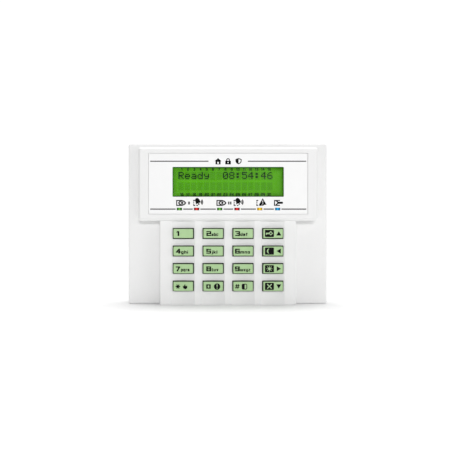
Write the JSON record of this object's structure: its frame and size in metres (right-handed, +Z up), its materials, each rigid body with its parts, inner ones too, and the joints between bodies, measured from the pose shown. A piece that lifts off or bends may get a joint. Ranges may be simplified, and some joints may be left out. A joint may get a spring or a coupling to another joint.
{
  "type": "alarm keypad panel",
  "caption": "Wall-mounted intruder alarm keypad: white two-part case, raised display block with green character display and status lamps, number keys in scooped channels.",
  "frame": {"origin": "centre of the flat back face that lies on the wall", "axes": "+Z up, +X to the right seen from the front, +Y into the wall; the keys and display face -Y"},
  "size_m": [0.114, 0.023, 0.092],
  "materials": {
    "housing_white": "fine satin ABS",
    "overlay_white": "smooth printed polycarbonate film",
    "clear_lens": "clear polished window",
    "lcd_metal": "satin black pressed steel",
    "lcd_glass": "green positive liquid crystal cell with polariser",
    "backlight_green": "lit light guide",
    "circuit_board": "green solder resist on glass fibre board",
    "gold_pins": "gold-plated",
    "screw_steel": "zinc-plated steel",
    "mat_green": "moulded silicone, matt",
    "key_green": "translucent silicone, matt, printed legend",
    "carbon_black": "conductive carbon silicone",
    "indicator_green": "tinted translucent light pipe",
    "indicator_red": "tinted translucent light pipe",
    "indicator_yellow": "tinted translucent light pipe",
    "indicator_blue": "tinted translucent light pipe",
    "led_white": "ceramic-bodied chip lamp",
    "terminal_plastic": "green polyamide",
    "black_plastic": "moulded epoxy or polyamide",
    "capacitor_metal": "satin aluminium can on a dark base",
    "white_nylon": "natural acetal"
  },
  "bodies": {
    "rear": {"rear_cover": "housing_white"},
    "front": {"front_cover": "housing_white", "display_overlay": "overlay_white", "lcd_lens": "clear_lens", "lcd_bezel": "lcd_metal", "lcd_glass": "lcd_glass", "lcd_backlight": "backlight_green", "lcd_board": "circuit_board", "lcd_header_pins": "gold_pins", "lcd_screws": "screw_steel", "main_board": "circuit_board", "board_screws": "screw_steel", "keypad_mat": "mat_green", "indicator_green": "indicator_green", "indicator_red": "indicator_red", "indicator_yellow": "indicator_yellow", "indicator_blue": "indicator_blue", "status_leds": "led_white", "key_backlight_leds": "led_white", "terminal_block": "terminal_plastic", "terminal_screws": "screw_steel", "controller_chip": "black_plastic", "capacitors": "capacitor_metal", "jumper_header": "black_plastic", "buzzer": "black_plastic", "tamper_switch": "black_plastic", "tamper_spring": "screw_steel"},
    "tamper_pin": {"tamper_plunger": "white_nylon"},
    "button_1": {"key_1": "key_green", "contact_1": "carbon_black"},
    "button_2": {"key_2": "key_green", "contact_2": "carbon_black"},
    "button_3": {"key_3": "key_green", "contact_3": "carbon_black"},
    "button_arm": {"key_arm": "key_green", "contact_arm": "carbon_black"},
    "button_4": {"key_4": "key_green", "contact_4": "carbon_black"},
    "button_5": {"key_5": "key_green", "contact_5": "carbon_black"},
    "button_6": {"key_6": "key_green", "contact_6": "carbon_black"},
    "button_night": {"key_night": "key_green", "contact_night": "carbon_black"},
    "button_7": {"key_7": "key_green", "contact_7": "carbon_black"},
    "button_8": {"key_8": "key_green", "contact_8": "carbon_black"},
    "button_9": {"key_9": "key_green", "contact_9": "carbon_black"},
    "button_day": {"key_day": "key_green", "contact_day": "carbon_black"},
    "button_star": {"key_star": "key_green", "contact_star": "carbon_black"},
    "button_0": {"key_0": "key_green", "contact_0": "carbon_black"},
    "button_hash": {"key_hash": "key_green", "contact_hash": "carbon_black"},
    "button_clear": {"key_clear": "key_green", "contact_clear": "carbon_black"}
  },
  "joints": [
    {"name": "cover_swing", "type": "hinge", "parent": "rear", "child": "front", "pos_m": [0, -0.007, 0.046], "axis": [-1, 0, 0], "range_deg": [0, 70]},
    {"name": "tamper_press", "type": "slide", "parent": "front", "child": "tamper_pin", "axis": [0, -1, 0], "range_m": [0, 0.0008], "stiffness_N_per_m": 400, "deforming": ["tamper_spring"]},
    {"name": "press_1", "type": "slide", "parent": "front", "child": "button_1", "axis": [0, 1, 0], "range_m": [0, 0.001], "stiffness_N_per_m": 1000},
    {"name": "press_2", "type": "slide", "parent": "front", "child": "button_2", "axis": [0, 1, 0], "range_m": [0, 0.001], "stiffness_N_per_m": 1000},
    {"name": "press_3", "type": "slide", "parent": "front", "child": "button_3", "axis": [0, 1, 0], "range_m": [0, 0.001], "stiffness_N_per_m": 1000},
    {"name": "press_arm", "type": "slide", "parent": "front", "child": "button_arm", "axis": [0, 1, 0], "range_m": [0, 0.001], "stiffness_N_per_m": 1000},
    {"name": "press_4", "type": "slide", "parent": "front", "child": "button_4", "axis": [0, 1, 0], "range_m": [0, 0.001], "stiffness_N_per_m": 1000},
    {"name": "press_5", "type": "slide", "parent": "front", "child": "button_5", "axis": [0, 1, 0], "range_m": [0, 0.001], "stiffness_N_per_m": 1000},
    {"name": "press_6", "type": "slide", "parent": "front", "child": "button_6", "axis": [0, 1, 0], "range_m": [0, 0.001], "stiffness_N_per_m": 1000},
    {"name": "press_night", "type": "slide", "parent": "front", "child": "button_night", "axis": [0, 1, 0], "range_m": [0, 0.001], "stiffness_N_per_m": 1000},
    {"name": "press_7", "type": "slide", "parent": "front", "child": "button_7", "axis": [0, 1, 0], "range_m": [0, 0.001], "stiffness_N_per_m": 1000},
    {"name": "press_8", "type": "slide", "parent": "front", "child": "button_8", "axis": [0, 1, 0], "range_m": [0, 0.001], "stiffness_N_per_m": 1000},
    {"name": "press_9", "type": "slide", "parent": "front", "child": "button_9", "axis": [0, 1, 0], "range_m": [0, 0.001], "stiffness_N_per_m": 1000},
    {"name": "press_day", "type": "slide", "parent": "front", "child": "button_day", "axis": [0, 1, 0], "range_m": [0, 0.001], "stiffness_N_per_m": 1000},
    {"name": "press_star", "type": "slide", "parent": "front", "child": "button_star", "axis": [0, 1, 0], "range_m": [0, 0.001], "stiffness_N_per_m": 1000},
    {"name": "press_0", "type": "slide", "parent": "front", "child": "button_0", "axis": [0, 1, 0], "range_m": [0, 0.001], "stiffness_N_per_m": 1000},
    {"name": "press_hash", "type": "slide", "parent": "front", "child": "button_hash", "axis": [0, 1, 0], "range_m": [0, 0.001], "stiffness_N_per_m": 1000},
    {"name": "press_clear", "type": "slide", "parent": "front", "child": "button_clear", "axis": [0, 1, 0], "range_m": [0, 0.001], "stiffness_N_per_m": 1000}
  ]
}
